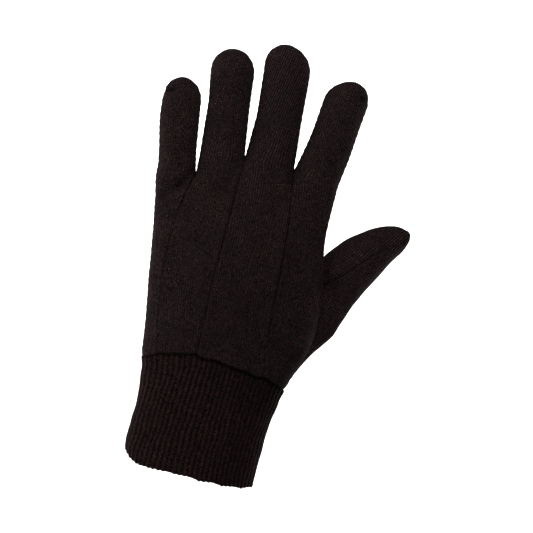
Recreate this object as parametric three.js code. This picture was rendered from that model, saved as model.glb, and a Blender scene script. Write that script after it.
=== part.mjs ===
// A knitted cotton work glove for the left hand, filled out as it is when worn.
// The palm, the four finger fronts and the outer half of the thumb are one piece of cloth, the
// back is four long strips from the wrist to the fingertips, and a ribbed cuff holds the wrist.
// Millimetres. The origin is the centre of the cuff's mouth, +Z runs to the fingertips, -Y is the
// back of the hand and +X the side of the thumb.
import * as THREE from 'three';

// The cloth and how its pieces meet
const CLOTH = 1.5;
const SEAM_GAP = 0.5;
const SEAM_COLUMNS = 8;

// The hand
const HAND_WIDTH = 104;
const HAND_LENGTH = 128;
const PALM_DEPTH = 35;
const SECTION_POWER = 2.5;
const WEB_LENGTH = 30;
const THENAR_BULGE = 5;
const THUMB_ROOT_DEPTH = 18;
const THUMB_CROTCH_SET = 0.2;
const THUMB_ROOT_SET = 1;
const THUMB_HEEL_DROP = 1.5;

// The middle finger's length above its root, its width and its depth
const FINGER_LENGTH = 74;
const FINGER_WIDTH = 28;
const FINGER_DEPTH = 20.5;
// The fingers: root is the height of its root as a share of HAND_LENGTH, centre is its place across
// the hand as a share of HAND_WIDTH, and its size is given as shares of the middle finger's.
const FINGERS = [
  { name: 'little', root: 0.89, centre: -0.480, length: 0.732, width: 0.85, depth: 0.878 },
  { name: 'ring', root: 0.953, centre: -0.240, length: 0.946, width: 0.943, depth: 0.976 },
  { name: 'middle', root: 1.0, centre: 0.034, length: 1, width: 1, depth: 1 },
  { name: 'index', root: 0.984, centre: 0.313, length: 0.862, width: 0.95, depth: 0.976 },
];
// Sections up each finger: up is a share of its length, shift and wide are shares of its width,
// shift is the sideways place of the middle from the finger's root, deep is a share of its depth.
const FINGER_SECTIONS = {
  little: [
    { up: 0, shift: 0, wide: 1.0, deep: 1.0 },
    { up: 0.22, shift: -0.105, wide: 0.98, deep: 1.0 },
    { up: 0.5, shift: -0.22, wide: 1.01, deep: 1.0 },
    { up: 0.78, shift: -0.30, wide: 0.97, deep: 0.96 },
    { up: 1, shift: -0.33, wide: 0.95, deep: 0.9 },
  ],
  ring: [
    { up: 0, shift: 0, wide: 1.03, deep: 1.0 },
    { up: 0.3, shift: -0.083, wide: 0.985, deep: 1.0 },
    { up: 0.5, shift: -0.135, wide: 0.95, deep: 0.97 },
    { up: 0.7, shift: -0.215, wide: 0.985, deep: 0.97 },
    { up: 0.85, shift: -0.255, wide: 1.0, deep: 0.95 },
    { up: 1, shift: -0.26, wide: 0.96, deep: 0.9 },
  ],
  middle: [
    { up: 0, shift: 0, wide: 1.09, deep: 1.0 },
    { up: 0.2, shift: -0.022, wide: 1.035, deep: 1.0 },
    { up: 0.4, shift: -0.04, wide: 0.975, deep: 0.98 },
    { up: 0.7, shift: -0.10, wide: 0.99, deep: 0.97 },
    { up: 0.88, shift: -0.15, wide: 1.0, deep: 0.95 },
    { up: 1, shift: -0.20, wide: 0.98, deep: 0.9 },
  ],
  index: [
    { up: 0, shift: 0, wide: 1.06, deep: 1.0 },
    { up: 0.27, shift: 0.107, wide: 1.02, deep: 1.0 },
    { up: 0.46, shift: 0.16, wide: 0.99, deep: 0.98 },
    { up: 0.65, shift: 0.205, wide: 0.985, deep: 0.97 },
    { up: 0.85, shift: 0.255, wide: 1.0, deep: 0.95 },
    { up: 1, shift: 0.33, wide: 0.97, deep: 0.9 },
  ],
};
// The rounded end of a finger, as a share of its width
const TIP_ROUND = 0.5;
// Rows up a finger from its crotches to its tip
const FINGER_ROWS = [0.07, 0.17, 0.3, 0.44, 0.57, 0.69, 0.79, 0.87, 0.93, 0.975, 1];

// The five lines that the strips of the hand lie between, from the little finger's side to the
// index finger's. foot and front are the heights of the wrist seam on the back and in the palm,
// top is the height of the crotch or the finger's root, all as shares of HAND_LENGTH above the
// cuff. across gives the line's sideways place at even steps from foot to top, on the back, as
// shares of HAND_WIDTH.
const LINES = [
  { foot: 0, front: 0, top: 0.845, across: [-0.413, -0.452, -0.495, -0.537, -0.588] },
  { foot: 0.032, front: 0.018, top: 0.892, across: [-0.318, -0.378, -0.413, -0.411, -0.368] },
  { foot: 0.069, front: 0.027, top: 0.997, across: [-0.108, -0.116, -0.117, -0.115, -0.112] },
  { foot: 0.038, front: 0.027, top: 1.003, across: [0.294, 0.260, 0.245, 0.222, 0.178] },
  { foot: 0.007, front: 0.007, top: 0.969, across: [0.425, 0.517, 0.500, 0.449, 0.446] },
];
const LITTLE_SIDE = 0;
const INDEX_SIDE = 4;
// Rows up the hand, as shares of the way from the wrist seam to the crotches
const HAND_ROWS = [0, 0.1, 0.2, 0.3, 0.4, 0.5, 0.58, 0.63, 0.68, 0.73, 0.78, 0.84, 0.9, 0.95, 1];
// The thumb joins the hand from the wrist up to this row, and its crotch is at the second one
const THUMB_ROOT_ROW = 6;
const THUMB_CROTCH_ROW = 10;
// Heights on the index side, as shares of HAND_LENGTH: the thumb seam's foot and the crotch
const THUMB_ROOT_UP = 0.523;
const THUMB_CROTCH_UP = 0.645;

// How deep the hand is: up is a share of HAND_LENGTH, back and palm are shares of PALM_DEPTH
const HAND_DEPTHS = [
  { up: 0, back: 0.52, palm: 0.54 },
  { up: 0.25, back: 0.48, palm: 0.53 },
  { up: 0.5, back: 0.47, palm: 0.52 },
  { up: 0.75, back: 0.44, palm: 0.47 },
  { up: 1, back: 0.37, palm: 0.40 },
];
// The thenar line, where the palm turns into the thumb, and the glove's outline beside it, at the
// hand's rows up to the thumb's root: shares of HAND_WIDTH, and turned is how far the section has
// turned from the wrist's round one into the thumb's own.
const THENAR_ROWS = [
  { line: 0.345, edge: 0.430, edgeUp: 0.007, turned: 0 },
  { line: 0.345, edge: 0.455, edgeUp: 0.08, turned: 0.25 },
  { line: 0.345, edge: 0.515, edgeUp: 0.17, turned: 0.55 },
  { line: 0.35, edge: 0.575, edgeUp: 0.245, turned: 0.8 },
  { line: 0.36, edge: 0.617, edgeUp: 0.305, turned: 1 },
  { line: 0.38, edge: 0.648, edgeUp: 0.37, turned: 1 },
  { line: 0.39, edge: 0.674, edgeUp: 0.43, turned: 1 },
];
// The outline there lies this far from the back's seam to the thenar line, as a share of the depth
const THENAR_EDGE_SET = 0.45;
// The thenar bulge's middle and reach, as shares of HAND_WIDTH and HAND_LENGTH, and the share of
// the hand's half width over which it fades out at the sides
const THENAR = { across: 0.34, up: 0.33, wide: 0.27, tall: 0.28, fade: 0.33 };

// The thumb leans from the hand's axis by this angle
const THUMB_LEAN = THREE.MathUtils.degToRad(40);
const THUMB_LENGTH = 61.5;
const THUMB_WIDTH = 30;
const THUMB_DEPTH = 23;
const THUMB_SET = 7;
// Sections along the thumb: along is a share of its length; outer, seam and inner are places
// across it as shares of its width, and deep is a share of its depth.
const THUMB_SECTIONS = [
  { along: 0.20, outer: 0.665, seam: 0.08, inner: -0.435, deep: 1.0 },
  { along: 0.31, outer: 0.60, seam: 0.10, inner: -0.445, deep: 1.0 },
  { along: 0.43, outer: 0.55, seam: 0.105, inner: -0.44, deep: 0.98 },
  { along: 0.56, outer: 0.50, seam: 0.13, inner: -0.415, deep: 0.95 },
  { along: 0.69, outer: 0.455, seam: 0.175, inner: -0.36, deep: 0.89 },
  { along: 0.81, outer: 0.415, seam: 0.235, inner: -0.25, deep: 0.78 },
  { along: 0.90, outer: 0.36, seam: 0.265, inner: -0.12, deep: 0.6 },
  { along: 0.965, outer: 0.295, seam: 0.23, inner: 0.02, deep: 0.35 },
  { along: 1, outer: 0.19, seam: 0.19, inner: 0.19, deep: 0 },
];

// The cuff
const CUFF_LENGTH = 63.5;
const CUFF_WALL = 2;
const CUFF_TUCK = 4;
const CUFF_EASE = 0.3;
const CUFF_CLEARANCE = 0.75;
const RIB_PITCH = 3;
const RIB_DEPTH = 0.7;
// Steps in which the way round the cuff is measured to space the ribs
const RIB_SPACING_STEPS = 2000;
// The mouth's rim turns up where the cuff folds round the little finger's side and the thumb's
const MOUTH_RISE = 8;
const MOUTH_RISE_POWER = 10;
const MOUTH_LIFT = 3;
const MOUTH_LIFT_POWER = 3;
// Sections up the cuff: up is a share of the way from the mouth to the wrist seam, left and right
// are shares of HAND_WIDTH, deep is a share of PALM_DEPTH on each side.
const CUFF_SECTIONS = [
  { up: 0, left: -0.372, right: 0.386, deep: 0.50 },
  { up: 0.12, left: -0.380, right: 0.384, deep: 0.505 },
  { up: 0.35, left: -0.381, right: 0.384, deep: 0.50 },
  { up: 0.6, left: -0.379, right: 0.390, deep: 0.495 },
  { up: 0.85, left: -0.391, right: 0.402, deep: 0.49 },
];

// Dents pressed into the back: a line from one place to another, in shares of HAND_WIDTH and
// HAND_LENGTH, with its depth and half width in shares of CLOTH and HAND_WIDTH. The first is the
// fold across the little finger's root, the second the hollow beside the ring finger's root.
const DENTS = [
  { from: [-0.395, 0.87], to: [-0.52, 0.72], deep: 1.3, wide: 0.035 },
  { from: [-0.15, 0.93], to: [-0.17, 0.86], deep: 0.7, wide: 0.05 },
];

const COLOURS = {
  palm_panel: 0x1f1716, thumb_inner: 0x211817, back_little: 0x231a19, back_ring: 0x221918,
  back_middle: 0x211817, back_index: 0x231a19, knit_cuff: 0x26191a,
};

const BACK = -1;
const FRONT = 1;
const mix = (a, b, t) => a + (b - a) * t;
const clamp = (v, low, high) => Math.min(high, Math.max(low, v));
const vec = (x, y, z) => new THREE.Vector3(x, y, z);

// A smooth curve through the values of a table's column, read at t on its key column
function read(table, key, column, t) {
  const at = clamp(t, table[0][key], table[table.length - 1][key]);
  let i = 0;
  while (i < table.length - 2 && at > table[i + 1][key]) i += 1;
  const slope = (k) => {
    const a = table[Math.max(0, k - 1)];
    const b = table[Math.min(table.length - 1, k + 1)];
    return (b[column] - a[column]) / (b[key] - a[key]);
  };
  const [p, q] = [table[i], table[i + 1]];
  const span = q[key] - p[key];
  const s = (at - p[key]) / span;
  const rise = s * s * (3 - 2 * s);
  return mix(p[column], q[column], rise)
    + span * (slope(i) * s * (1 - s) ** 2 - slope(i + 1) * s * s * (1 - s));
}

// Sideways place of a hand line at a share of the way up it
const lineTables = LINES.map(({ across: places }) => (
  places.map((across, k) => ({ up: k / (places.length - 1), across }))));
const wristZ = CUFF_LENGTH;
const lineX = (k, share) => HAND_WIDTH * read(lineTables[k], 'up', 'across', share);
function lineZ(k, share, side) {
  const foot = side === BACK ? LINES[k].foot : LINES[k].front;
  return wristZ + HAND_LENGTH * mix(foot, LINES[k].top, share);
}

// The hand's outline on each side at a height, from its two outer lines
function handSides(z) {
  const up = (z - wristZ) / HAND_LENGTH;
  const [low, high] = [LINES[LITTLE_SIDE], LINES[INDEX_SIDE]];
  return [
    lineX(LITTLE_SIDE, (up - low.foot) / (low.top - low.foot)),
    lineX(INDEX_SIDE, (up - high.foot) / (high.top - high.foot)),
  ];
}

// The round bulge of the ball of the thumb on the palm
function thenar(x, z) {
  const across = (x / HAND_WIDTH - THENAR.across) / THENAR.wide;
  const up = ((z - wristZ) / HAND_LENGTH - THENAR.up) / THENAR.tall;
  return THENAR_BULGE * Math.exp(-across * across - up * up);
}

// The hand's half section: a flattened oval, rounder at its edges than an ellipse
function dome(x, z, side) {
  const [left, right] = handSides(z);
  const s = Math.abs(2 * x - left - right) / (right - left);
  const column = side === BACK ? 'back' : 'palm';
  const depth = PALM_DEPTH * read(HAND_DEPTHS, 'up', column, (z - wristZ) / HAND_LENGTH);
  const oval = depth * Math.max(0, 1 - s ** SECTION_POWER) ** (1 / SECTION_POWER);
  const edge = clamp((1 - s) / THENAR.fade, 0, 1);
  return oval + (side === FRONT ? thenar(x, z) * edge : 0);
}

// Left and right edge and half depth of a finger at a height
function fingerSection(finger, z) {
  const root = wristZ + HAND_LENGTH * finger.root;
  const length = FINGER_LENGTH * finger.length;
  const width = FINGER_WIDTH * finger.width;
  const up = (z - root) / length;
  const rows = FINGER_SECTIONS[finger.name];
  const round = TIP_ROUND * width / length;
  const cap = Math.sqrt(Math.max(0, 1 - Math.max(0, (up - 1 + round) / round) ** 2));
  const centre = HAND_WIDTH * finger.centre + width * read(rows, 'up', 'shift', up);
  const half = width * read(rows, 'up', 'wide', up) * cap / 2;
  return {
    edges: [centre - half, centre + half],
    depth: FINGER_DEPTH * finger.depth * read(rows, 'up', 'deep', up) * cap / 2,
  };
}
const tipZ = (finger) => wristZ + HAND_LENGTH * finger.root + FINGER_LENGTH * finger.length;

// How far the hand's oval has taken over from the finger's own section, below a crotch
function web(z, crotchZ) {
  const t = clamp((crotchZ - z) / WEB_LENGTH, 0, 1);
  return Math.sqrt(1 - (1 - t) ** 2);
}

// Frame of the thumb: along its axis and across it to the outer side, from the seam's foot
const thumbAlong = vec(Math.sin(THUMB_LEAN), 0, Math.cos(THUMB_LEAN));
const thumbAcross = vec(Math.cos(THUMB_LEAN), 0, -Math.sin(THUMB_LEAN));
function indexSide(up, y) {
  const line = LINES[INDEX_SIDE];
  const share = (up - line.foot) / (line.top - line.foot);
  return vec(lineX(INDEX_SIDE, share), y, wristZ + HAND_LENGTH * up);
}
const thumbRoot = indexSide(THUMB_ROOT_UP, -THUMB_ROOT_SET);
const thumbCrotch = indexSide(THUMB_CROTCH_UP, THUMB_CROTCH_SET);
const thumbHeel = vec(
  HAND_WIDTH * THENAR_ROWS[THUMB_ROOT_ROW].line,
  THUMB_ROOT_DEPTH - THUMB_ROOT_SET,
  thumbRoot.z - THUMB_HEEL_DROP,
);
function thumbPoint(along, across, y) {
  const point = thumbRoot.clone();
  point.addScaledVector(thumbAlong, along * THUMB_LENGTH);
  point.addScaledVector(thumbAcross, across * THUMB_WIDTH);
  point.y = y;
  return point;
}

// Half an ellipse from one point to another that passes through a third at its middle
function arch(start, through, end, turn) {
  const middle = start.clone().add(end).multiplyScalar(0.5);
  return middle.clone()
    .addScaledVector(start.clone().sub(middle), Math.cos(turn))
    .addScaledVector(through.clone().sub(middle), Math.sin(turn));
}

// The edge that the inner half of the thumb is set into: on the back it runs up the index side
// from the thumb's root to the crotch, and in the palm it arches down from there to the heel.
function crotchArch(turn) {
  const quarter = Math.PI / 2;
  if (turn > quarter) return arch(thumbRoot, thumbCrotch, thumbHeel, turn);
  const climb = turn / quarter;
  const share = indexSideShare(mix(THUMB_ROOT_ROW, THUMB_CROTCH_ROW, climb));
  const y = mix(thumbRoot.y, thumbCrotch.y, climb);
  return vec(lineX(INDEX_SIDE, share), y, lineZ(INDEX_SIDE, share, BACK));
}

// Height shares of the index side's rows, so that they meet the thumb's root and its crotch
function indexSideShare(row) {
  const line = LINES[INDEX_SIDE];
  const share = (up) => (up - line.foot) / (line.top - line.foot);
  const stops = [[0, 0], [THUMB_ROOT_ROW, share(THUMB_ROOT_UP)],
    [THUMB_CROTCH_ROW, share(THUMB_CROTCH_UP)], [HAND_ROWS.length - 1, 1]];
  const k = stops.findIndex(([stop], i) => i > 0 && row <= stop);
  const [[r0, s0], [r1, s1]] = [stops[k - 1], stops[k]];
  return mix(s0, s1, (row - r0) / (r1 - r0));
}

// A point of one of the five lines at a row of the hand, on the back or in the palm
function linePoint(k, row, side) {
  const quarter = Math.PI / 2;
  const rootSteps = THUMB_CROTCH_ROW - THUMB_ROOT_ROW;
  if (k === INDEX_SIDE) {
    const share = indexSideShare(row);
    const z = lineZ(k, share, side);
    if (row > THUMB_CROTCH_ROW) {
      const left = (HAND_ROWS.length - 1 - row) / (HAND_ROWS.length - 1 - THUMB_CROTCH_ROW);
      return vec(lineX(k, share), thumbCrotch.y * left, z);
    }
    if (row >= THUMB_ROOT_ROW) {
      const turn = quarter * (row - THUMB_ROOT_ROW) / rootSteps;
      return crotchArch(side === BACK ? turn : Math.PI - turn);
    }
    if (side === BACK) return vec(lineX(k, share), thumbRoot.y * row / THUMB_ROOT_ROW, z);
    const x = HAND_WIDTH * THENAR_ROWS[row].line;
    const foot = wristZ + HAND_LENGTH * LINES[k - 1].front;
    const height = mix(foot, thumbHeel.z, row / THUMB_ROOT_ROW);
    return vec(x, mix(dome(x, height, FRONT), thumbHeel.y, (row / THUMB_ROOT_ROW) ** 2), height);
  }
  const share = HAND_ROWS[row];
  const x = lineX(k, share);
  const z = lineZ(k, share, side);
  if (k === LITTLE_SIDE) return vec(x, 0, z);
  return vec(x, side * dome(x, z, side) * web(z, lineZ(k, 1, side)), z);
}

// How deep the dents are at a place on the back
function dentDepth(x, z) {
  let depth = 0;
  for (const dent of DENTS) {
    const a = new THREE.Vector2(dent.from[0] * HAND_WIDTH, wristZ + dent.from[1] * HAND_LENGTH);
    const b = new THREE.Vector2(dent.to[0] * HAND_WIDTH, wristZ + dent.to[1] * HAND_LENGTH);
    const p = new THREE.Vector2(x, z).sub(a);
    const run = b.clone().sub(a);
    const t = clamp(p.dot(run) / run.lengthSq(), 0, 1);
    const off = p.sub(run.multiplyScalar(t)).length() / (dent.wide * HAND_WIDTH);
    depth += dent.deep * CLOTH * Math.exp(-off * off);
  }
  return depth;
}

// How deep a finger's strip is at a place that lies a share t of the way across it: the finger's
// half ellipse, with the hand's oval taking its place as far as blend says
function stripDepth(finger, side, x, z, t, blend) {
  const own = fingerSection(finger, z).depth * 2 * Math.sqrt(Math.max(0, t * (1 - t)));
  return side * mix(own, dome(x, z, side), blend);
}

// A grid of points for one finger's strip, on the back or in front, from the wrist to the tip. Each
// row is carried to the points of the two lines it ends on by cubic shares of what it misses by.
function fingerStrip(index, side) {
  const finger = FINGERS[index];
  const grid = [];
  const crotchZ = [lineZ(index, 1, side), lineZ(index + 1, 1, side)];
  const wristToCrotch = HAND_ROWS.map((share, row) => {
    const [left, right] = [linePoint(index, row, side), linePoint(index + 1, row, side)];
    const open = [web(left.z, crotchZ[0]), web(right.z, crotchZ[1])];
    return { left, right, open };
  });
  const crotches = [0, 1].map((end) => linePoint(index + end, HAND_ROWS.length - 1, side));
  const crotchToTip = FINGER_ROWS.map((share) => {
    const ends = crotches.map((crotch, end) => {
      const z = mix(crotch.z, tipZ(finger), share);
      const offset = crotch.x - fingerSection(finger, crotch.z).edges[end];
      return vec(fingerSection(finger, z).edges[end] + offset * (1 - share) ** 3, 0, z);
    });
    return { left: ends[0], right: ends[1], open: [0, 0] };
  });
  for (const { left, right, open } of [...wristToCrotch, ...crotchToTip]) {
    const row = [];
    for (let i = 0; i <= SEAM_COLUMNS; i += 1) {
      const turn = Math.PI * i / SEAM_COLUMNS;
      const t = (1 - Math.cos(turn)) / 2;
      const x = mix(left.x, right.x, t);
      const z = mix(left.z, right.z, t);
      const plain = stripDepth(finger, side, x, z, t, mix(open[0], open[1], t));
      const leftMiss = left.y - stripDepth(finger, side, left.x, left.z, 0, open[0]);
      const rightMiss = right.y - stripDepth(finger, side, right.x, right.z, 1, open[1]);
      const dent = side === BACK ? dentDepth(x, z) * Math.sin(turn) : 0;
      row.push(vec(x, plain + leftMiss * (1 - t) ** 3 + rightMiss * t ** 3 + dent, z));
    }
    grid.push(row);
  }
  return grid;
}

// The outer half of the thumb, from the index side of the back round to the palm. Below the
// thumb's root its rows are the hand's, and they turn from the wrist's oval into the thumb's.
function thumbOuter() {
  const grid = [];
  for (let row = 0; row <= THUMB_ROOT_ROW; row += 1) {
    const { edge, edgeUp, turned } = THENAR_ROWS[row];
    const start = linePoint(INDEX_SIDE, row, BACK);
    const end = linePoint(INDEX_SIDE, row, FRONT);
    const outer = vec(
      HAND_WIDTH * edge,
      mix(start.y, end.y, THENAR_EDGE_SET),
      wristZ + HAND_LENGTH * edgeUp,
    );
    const between = [];
    for (let i = 1; i < SEAM_COLUMNS; i += 1) {
      const share = i / SEAM_COLUMNS;
      const own = arch(start, outer, end, Math.PI * share);
      const z = mix(start.z, end.z, share);
      const [left, right] = handSides(z);
      const s = clamp((2 * end.x - left - right) / (right - left), 0, 1);
      const last = Math.acos(s ** (SECTION_POWER / 2));
      const along = Math.cos(last * share) ** (2 / SECTION_POWER);
      const x = (left + right) / 2 + along * (right - left) / 2;
      const miss = mix(start.y, end.y - dome(end.x, end.z, FRONT), share);
      between.push(vec(x, dome(x, z, FRONT) + miss, z).lerp(own, turned));
    }
    grid.push([start, ...between, end]);
  }
  for (const section of THUMB_SECTIONS) grid.push(thumbRow(section, section.outer));
  return grid;
}

// Turns from 0 to a half turn, one for each column of half the thumb
const thumbTurns = Array.from({ length: SEAM_COLUMNS + 1 }, (_, i) => Math.PI * i / SEAM_COLUMNS);

// One row of half the thumb, from its seam on the back to its seam in front
function thumbRow(section, across) {
  const deep = section.deep * THUMB_DEPTH / 2;
  const start = thumbPoint(section.along, section.seam, THUMB_SET - deep);
  const end = thumbPoint(section.along, section.seam, THUMB_SET + deep);
  const middle = thumbPoint(section.along, across, THUMB_SET);
  return thumbTurns.map((turn) => arch(start, middle, end, turn));
}

// The half of the thumb that faces the index finger, from the crotch to the tip
function thumbInner() {
  const rows = THUMB_SECTIONS.map((section) => thumbRow(section, section.inner));
  return [thumbTurns.map(crotchArch), ...rows];
}

// Points merged by place, so that strips that share a line share its points
class Welded {
  constructor() {
    this.points = [];
    this.places = new Map();
  }

  add(point) {
    const key = [point.x, point.y, point.z].map((v) => Math.round(v * 1000)).join();
    if (!this.places.has(key)) {
      this.places.set(key, this.points.length);
      this.points.push(point.clone());
    }
    return this.places.get(key);
  }
}

// Triangles of a grid of points, turned so that their faces look outwards
function gridTriangles(welded, grid, reversed) {
  const ids = grid.map((row) => row.map((point) => welded.add(point)));
  const triangles = [];
  const push = (a, b, c) => {
    if (a !== b && b !== c && a !== c) triangles.push(reversed ? [a, c, b] : [a, b, c]);
  };
  for (let j = 0; j + 1 < ids.length; j += 1) {
    for (let i = 0; i + 1 < ids[j].length; i += 1) {
      const [a, b, c, d] = [ids[j][i], ids[j][i + 1], ids[j + 1][i + 1], ids[j + 1][i]];
      push(a, b, c);
      push(a, c, d);
    }
  }
  return triangles;
}

function normalsOf(points, triangles) {
  const normals = points.map(() => vec(0, 0, 0));
  for (const [a, b, c] of triangles) {
    const n = points[b].clone().sub(points[a]).cross(points[c].clone().sub(points[a]));
    for (const id of [a, b, c]) normals[id].add(n);
  }
  return normals.map((n) => n.normalize());
}

// Edges that only one triangle of a piece has, in the direction that triangle runs them
function openEdges(triangles) {
  const seen = new Map();
  for (const [a, b, c] of triangles) {
    for (const [p, q] of [[a, b], [b, c], [c, a]]) seen.set(`${p},${q}`, [p, q]);
  }
  return [...seen.values()].filter(([p, q]) => !seen.has(`${q},${p}`));
}

function meshOf(name, positions, faces) {
  const geometry = new THREE.BufferGeometry();
  const numbers = positions.flatMap((point) => point.toArray());
  geometry.setAttribute('position', new THREE.Float32BufferAttribute(numbers, 3));
  geometry.setIndex(faces.flat());
  geometry.computeVertexNormals();
  const material = new THREE.MeshStandardMaterial({ color: COLOURS[name], roughness: 0.95 });
  material.metalness = 0;
  material.name = name;
  const mesh = new THREE.Mesh(geometry, material);
  mesh.name = name;
  return mesh;
}

// A piece of cloth: its outer face, the same face one cloth thickness inside, and the cut edge
// between them, drawn back by half the seam's gap from every edge.
function clothPiece(name, points, normals, triangles) {
  const edges = openEdges(triangles);
  const back = new Map();
  for (const [p, q] of edges) {
    const along = points[q].clone().sub(points[p]).normalize();
    for (const id of [p, q]) {
      if (!back.has(id)) back.set(id, vec(0, 0, 0));
      back.get(id).add(normals[id].clone().cross(along));
    }
  }
  const used = [...new Set(triangles.flat())];
  const place = new Map(used.map((id, k) => [id, k]));
  const outer = used.map((id) => {
    const point = points[id].clone();
    if (back.has(id)) point.addScaledVector(back.get(id).normalize(), SEAM_GAP / 2);
    return point;
  });
  const inner = outer.map((point, k) => point.clone().addScaledVector(normals[used[k]], -CLOTH));
  const count = used.length;
  const faces = [];
  for (const triangle of triangles) {
    const [a, b, c] = triangle.map((id) => place.get(id));
    faces.push([a, b, c], [a + count, c + count, b + count]);
  }
  for (const [p, q] of edges) {
    const [a, b] = [place.get(p), place.get(q)];
    faces.push([b, a, a + count], [b, a + count, b + count]);
  }
  return meshOf(name, [...outer, ...inner], faces);
}

// The wrist seam's height round the cuff, read from the feet of the hand's lines
function wristSeam(x, side) {
  const stops = [...LINES.keys()].map((k) => [lineX(k, 0), lineZ(k, 0, side)]);
  const k = Math.max(1, stops.findIndex(([at]) => at >= x));
  const [[x0, z0], [x1, z1]] = [stops[k - 1], stops[k]];
  return mix(z0, z1, clamp((x - x0) / (x1 - x0), 0, 1));
}

// The ribbed cuff: a tube of a flattened oval section with a ridge and a valley for each rib,
// smooth inside. It reaches the hem of the hand flush, and its top is tucked inside the hem.
function knitCuff() {
  const [hemLeft, hemRight] = handSides(wristZ);
  const hem = (inset) => ({
    left: hemLeft + inset,
    right: hemRight - inset,
    back: HAND_DEPTHS[0].back * PALM_DEPTH - inset,
    palm: HAND_DEPTHS[0].palm * PALM_DEPTH - inset,
  });
  const section = (up, inset) => ({
    left: HAND_WIDTH * read(CUFF_SECTIONS, 'up', 'left', up) + inset,
    right: HAND_WIDTH * read(CUFF_SECTIONS, 'up', 'right', up) - inset,
    back: PALM_DEPTH * read(CUFF_SECTIONS, 'up', 'deep', up) - inset,
    palm: PALM_DEPTH * read(CUFF_SECTIONS, 'up', 'deep', up) - inset,
  });
  const oval = (turn) => {
    const power = 2 / SECTION_POWER;
    const [c, s] = [Math.cos(turn), Math.sin(turn)];
    return [Math.sign(c) * Math.abs(c) ** power, Math.sign(s) * Math.abs(s) ** power];
  };
  const place = (shape, turn, inwards) => {
    const [c, s] = oval(turn);
    const half = (shape.right - shape.left) / 2;
    const depth = s < 0 ? shape.back : shape.palm;
    return [(shape.left + shape.right) / 2 + c * (half - inwards), s * (depth - inwards)];
  };
  // Turns spaced evenly along the section, so that all ribs are as wide
  const fine = RIB_SPACING_STEPS;
  const middle = section(0.5, 0);
  const lengths = [0];
  for (let k = 1; k <= fine; k += 1) {
    const [x0, y0] = place(middle, 2 * Math.PI * (k - 1) / fine, 0);
    const [x1, y1] = place(middle, 2 * Math.PI * k / fine, 0);
    lengths.push(lengths[k - 1] + Math.hypot(x1 - x0, y1 - y0));
  }
  const around = lengths[fine];
  const ribs = Math.round(around / RIB_PITCH);
  const turnAt = (share) => {
    let k = 1;
    while (k < fine && lengths[k] < share * around) k += 1;
    const past = (share * around - lengths[k - 1]) / (lengths[k] - lengths[k - 1]);
    return 2 * Math.PI * (k - 1 + past) / fine;
  };
  const tuck = CLOTH + CUFF_CLEARANCE;
  const ups = CUFF_SECTIONS.map(({ up }) => up);
  const outerRows = [
    ...ups.map((up) => ({ up, shape: section(up, 0), above: 0 })),
    { up: 1, shape: hem(CUFF_EASE), above: -SEAM_GAP / 2 },
    { up: 1, shape: hem(tuck), above: -SEAM_GAP / 2 },
    { up: 1, shape: hem(tuck), above: CUFF_TUCK },
  ];
  const innerRows = [
    ...ups.map((up) => ({ up, shape: section(up, CUFF_WALL), above: 0 })),
    { up: 1, shape: hem(tuck + CUFF_WALL), above: -SEAM_GAP / 2 },
    { up: 1, shape: hem(tuck + CUFF_WALL), above: CUFF_TUCK },
  ];
  const ring = (rows, count, inwards) => rows.map(({ up, shape, above }) => (
    Array.from({ length: count }, (_, i) => {
      const turn = turnAt(i / count);
      const [x, y] = place(shape, turn, inwards(i));
      const [c] = oval(turn);
      const mouth = MOUTH_RISE * Math.max(0, -c) ** MOUTH_RISE_POWER
        + MOUTH_LIFT * Math.max(0, c) ** MOUTH_LIFT_POWER;
      return vec(x, y, mix(mouth, wristSeam(x, y < 0 ? BACK : FRONT), up) + above);
    })));
  const outside = ring(outerRows, 2 * ribs, (i) => (i % 2) * RIB_DEPTH);
  const inside = ring(innerRows, ribs, () => 0);
  const points = [...outside.flat(), ...inside.flat()];
  const outerId = (row, i) => row * 2 * ribs + (i % (2 * ribs));
  const innerId = (row, i) => outside.length * 2 * ribs + row * ribs + (i % ribs);
  const faces = [];
  const wall = (id, row, i, outwards) => {
    const [a, b, c, d] = [id(row, i), id(row, i + 1), id(row + 1, i + 1), id(row + 1, i)];
    faces.push(...(outwards ? [[a, b, c], [a, c, d]] : [[a, c, b], [a, d, c]]));
  };
  for (let row = 0; row + 1 < outside.length; row += 1) {
    for (let i = 0; i < 2 * ribs; i += 1) wall(outerId, row, i, true);
  }
  for (let row = 0; row + 1 < inside.length; row += 1) {
    for (let i = 0; i < ribs; i += 1) wall(innerId, row, i, false);
  }
  const rims = [[0, 0, false], [outside.length - 1, inside.length - 1, true]];
  for (let i = 0; i < ribs; i += 1) {
    for (const [outerRow, innerRow, top] of rims) {
      const [a, b, c] = [0, 1, 2].map((step) => outerId(outerRow, 2 * i + step));
      const [p, q] = [innerId(innerRow, i), innerId(innerRow, i + 1)];
      const rim = [[a, b, p], [b, q, p], [b, c, q]];
      faces.push(...rim.map(([x, y, z]) => (top ? [x, y, z] : [x, z, y])));
    }
  }
  return meshOf('knit_cuff', points, faces);
}

const welded = new Welded();
const strips = {
  palm_panel: [
    ...[...FINGERS.keys()].map((k) => gridTriangles(welded, fingerStrip(k, FRONT), true)),
    gridTriangles(welded, thumbOuter(), false),
  ].flat(),
  thumb_inner: gridTriangles(welded, thumbInner(), true),
};
FINGERS.forEach((finger, k) => {
  strips[`back_${finger.name}`] = gridTriangles(welded, fingerStrip(k, BACK), false);
});
const normals = normalsOf(welded.points, Object.values(strips).flat());

const glove = new THREE.Group();
for (const [name, triangles] of Object.entries(strips)) {
  glove.add(clothPiece(name, welded.points, normals, triangles));
}
glove.add(knitCuff());

export default glove;
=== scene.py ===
from functools import partial
from math import cos, pi, radians, sin, sqrt, tau

import bpy
import numpy as np
from mathutils import Matrix


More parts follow.
